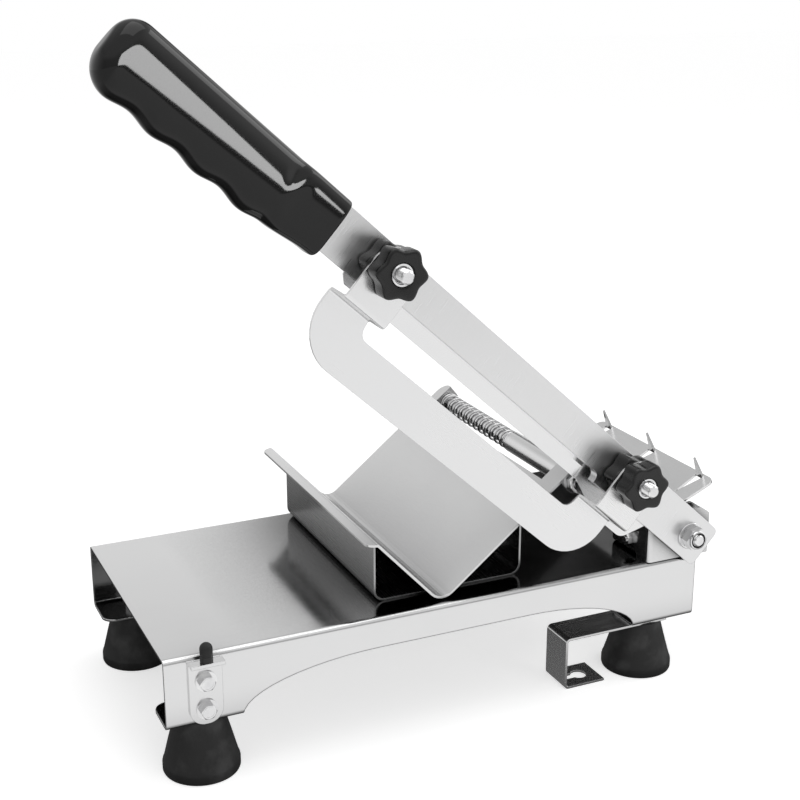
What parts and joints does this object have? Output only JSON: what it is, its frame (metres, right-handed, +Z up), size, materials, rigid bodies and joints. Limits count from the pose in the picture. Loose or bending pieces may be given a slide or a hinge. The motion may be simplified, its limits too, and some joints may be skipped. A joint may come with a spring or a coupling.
{
  "type": "hand-operated frozen meat slicer",
  "caption": "Bench meat slicer: a long blade on a hand lever swings down beside a V-shaped trough, with a spring-loaded spiked presser and a knob-set guard plate.",
  "frame": {"origin": "centre of the whole slicer's outline at rest, on the table under the feet", "axes": "+Z up, +Y from the blade's side to the far side, +X from the stop to the arm's pivot"},
  "size_m": [0.384, 0.22, 0.4032],
  "materials": {
    "sheet_steel": "finely brushed stainless sheet",
    "blade_steel": "ground stainless blade",
    "fastener_steel": "bright zinc or stainless",
    "spring_steel": "bright wire",
    "insert_steel": "bright plated",
    "knob_plastic": "glossy black",
    "grip_plastic": "glossy black",
    "rubber": "matt black"
  },
  "bodies": {
    "base": {"base_shell": "sheet_steel", "foot_front_left": "rubber", "foot_rear_left": "rubber", "foot_front_right": "rubber", "foot_rear_right": "rubber", "foot_screws": "fastener_steel", "foot_nuts": "fastener_steel", "bench_bracket": "sheet_steel", "pivot_bracket": "sheet_steel", "pivot_bracket_screws": "fastener_steel", "pivot_bracket_nuts": "fastener_steel", "pivot_angle": "sheet_steel", "pivot_web_bolt": "fastener_steel", "pivot_web_nut": "fastener_steel", "pivot_bolt": "fastener_steel", "pivot_spacer": "fastener_steel", "pivot_washer": "fastener_steel", "pivot_nut": "fastener_steel", "stop_bracket": "sheet_steel", "stop_bolts": "fastener_steel", "stop_washers": "fastener_steel", "stop_nuts": "fastener_steel", "stop_pin": "fastener_steel", "stop_cap": "rubber", "tray_channel": "sheet_steel", "tray_screws": "fastener_steel", "tray_nuts": "fastener_steel", "trough": "sheet_steel", "guide_rod": "fastener_steel", "rod_nuts": "fastener_steel", "return_spring": "spring_steel"},
    "arm": {"arm_bar": "sheet_steel", "blade": "blade_steel", "grip": "grip_plastic", "stud_lower": "fastener_steel", "stud_upper": "fastener_steel"},
    "guard": {"guard_plate": "sheet_steel"},
    "knob_rear_lower": {"knob_rear_lower": "knob_plastic", "insert_rear_lower": "insert_steel"},
    "knob_rear_upper": {"knob_rear_upper": "knob_plastic", "insert_rear_upper": "insert_steel"},
    "knob_front_lower": {"knob_front_lower": "knob_plastic", "insert_front_lower": "insert_steel"},
    "knob_front_upper": {"knob_front_upper": "knob_plastic", "insert_front_upper": "insert_steel"},
    "carriage": {"spring_collar": "fastener_steel"},
    "presser": {"presser_sleeve": "sheet_steel", "presser_plate": "sheet_steel"}
  },
  "joints": [
    {"name": "arm_hinge", "type": "hinge", "parent": "base", "child": "arm", "pos_m": [0.1565, -0.0764, 0.0916], "axis": [0, 1, 0], "range_deg": [-40.6, 45]},
    {"name": "guard_slide", "type": "slide", "parent": "arm", "child": "guard", "axis": [0, -1, 0], "range_m": [0, 0.008]},
    {"name": "presser_slide", "type": "slide", "parent": "base", "child": "carriage", "axis": [0, 1, 0], "range_m": [0, 0.06], "stiffness_N_per_m": 2900, "deforming": ["return_spring"]},
    {"name": "presser_hinge", "type": "hinge", "parent": "carriage", "child": "presser", "pos_m": [0.08064, -0.021, 0.13539], "axis": [0, -1, 0], "range_deg": [0, 205]},
    {"name": "knob_rear_lower_turn", "type": "hinge", "parent": "guard", "child": "knob_rear_lower", "pos_m": [0.10557, -0.0844, 0.13935], "axis": [0, -1, 0], "continuous": true},
    {"name": "knob_rear_upper_turn", "type": "hinge", "parent": "guard", "child": "knob_rear_upper", "pos_m": [-0.04893, -0.0844, 0.27846], "axis": [0, -1, 0], "continuous": true},
    {"name": "knob_front_lower_turn", "type": "hinge", "parent": "guard", "child": "knob_front_lower", "pos_m": [0.10557, -0.0981, 0.13935], "axis": [0, -1, 0], "continuous": true},
    {"name": "knob_front_upper_turn", "type": "hinge", "parent": "guard", "child": "knob_front_upper", "pos_m": [-0.04893, -0.0981, 0.27846], "axis": [0, -1, 0], "continuous": true}
  ]
}
